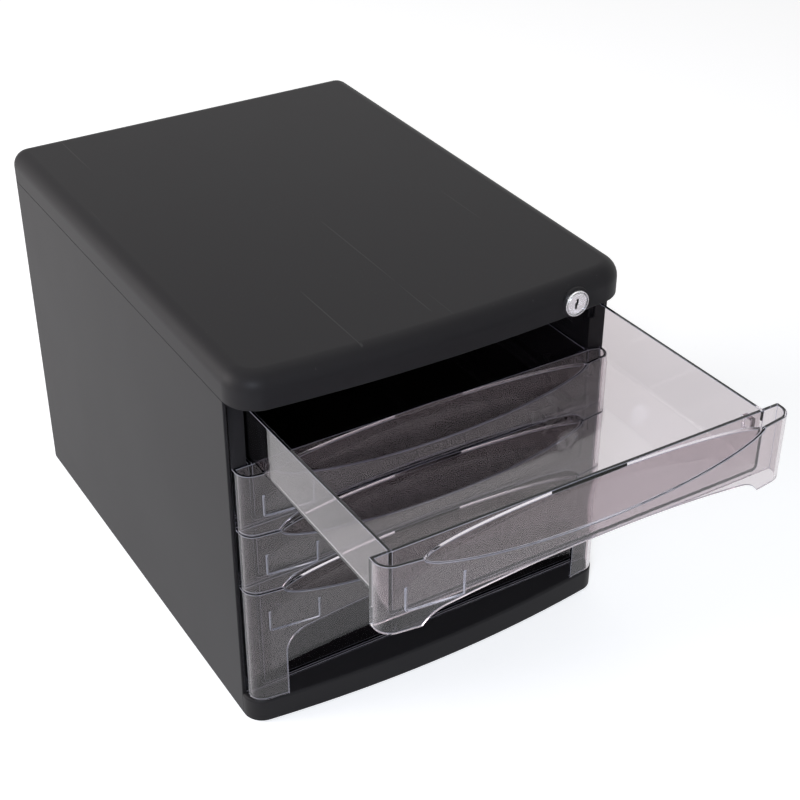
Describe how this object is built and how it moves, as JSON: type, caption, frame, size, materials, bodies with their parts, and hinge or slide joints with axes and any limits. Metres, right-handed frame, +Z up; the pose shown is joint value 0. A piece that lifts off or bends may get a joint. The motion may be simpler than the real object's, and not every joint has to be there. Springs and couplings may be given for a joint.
{
  "type": "desktop file drawer",
  "caption": "Desktop file drawer cabinet for A4 paper: black moulded case with a bowed lockable cover and clear pull-out drawers with a thumb scoop and a finger arch.",
  "frame": {"origin": "on the table plane, in the middle of the ground that the part covers with its top drawer pulled out as at rest; the case itself lies from y -0.0798 to y 0.2552", "axes": "+X to the right seen from the front, -Y out of the front where the drawers open, +Z up"},
  "size_m": [0.265, 0.5104, 0.256],
  "materials": {
    "black_case": "satin black polystyrene",
    "black_inner": "matt black moulding",
    "clear_drawer": "clear, lightly smoked polystyrene",
    "lock_chrome": "nickel plated zinc",
    "steel": "zinc plated steel",
    "foot_rubber": "matt black rubber"
  },
  "bodies": {
    "cabinet": {"top_cover": "black_case", "left_side_panel": "black_case", "right_side_panel": "black_case", "back_panel": "black_case", "base": "black_case", "lock_housing": "lock_chrome", "lock_nut": "steel", "lock_bar_keeper": "steel", "keeper_screws": "steel", "foot_guide": "black_inner", "foot_guide_screw": "steel", "cover_screws": "steel", "base_screws": "steel", "back_panel_screws": "steel", "foot_front_left": "foot_rubber", "foot_front_right": "foot_rubber", "foot_rear_left": "foot_rubber", "foot_rear_right": "foot_rubber"},
    "top_drawer_body": {"top_drawer": "clear_drawer"},
    "second_drawer_body": {"second_drawer": "clear_drawer"},
    "third_drawer_body": {"third_drawer": "clear_drawer"},
    "deep_drawer_body": {"deep_drawer": "clear_drawer"},
    "plug": {"lock_plug": "lock_chrome", "lock_cam": "steel", "cam_pin": "steel"},
    "bar": {"lock_bar": "steel"}
  },
  "joints": [
    {"name": "top_drawer_slide", "type": "slide", "parent": "cabinet", "child": "top_drawer_body", "axis": [0, -1, 0], "range_m": [-0.1533, 0.0667]},
    {"name": "second_drawer_slide", "type": "slide", "parent": "cabinet", "child": "second_drawer_body", "axis": [0, -1, 0], "range_m": [0, 0.22]},
    {"name": "third_drawer_slide", "type": "slide", "parent": "cabinet", "child": "third_drawer_body", "axis": [0, -1, 0], "range_m": [0, 0.22]},
    {"name": "deep_drawer_slide", "type": "slide", "parent": "cabinet", "child": "deep_drawer_body", "axis": [0, -1, 0], "range_m": [0, 0.22]},
    {"name": "lock_turn", "type": "hinge", "parent": "cabinet", "child": "plug", "pos_m": [0.089, -0.0923, 0.243], "axis": [0, 1, 0], "range_deg": [0, 90]},
    {"name": "lock_bar_slide", "type": "slide", "parent": "cabinet", "child": "bar", "axis": [-1, 0, 0], "range_m": [0, 0.0028]}
  ],
  "couplings": [
    {"joint": "lock_turn", "follows": "lock_bar_slide", "rad_per_m": 561}
  ]
}
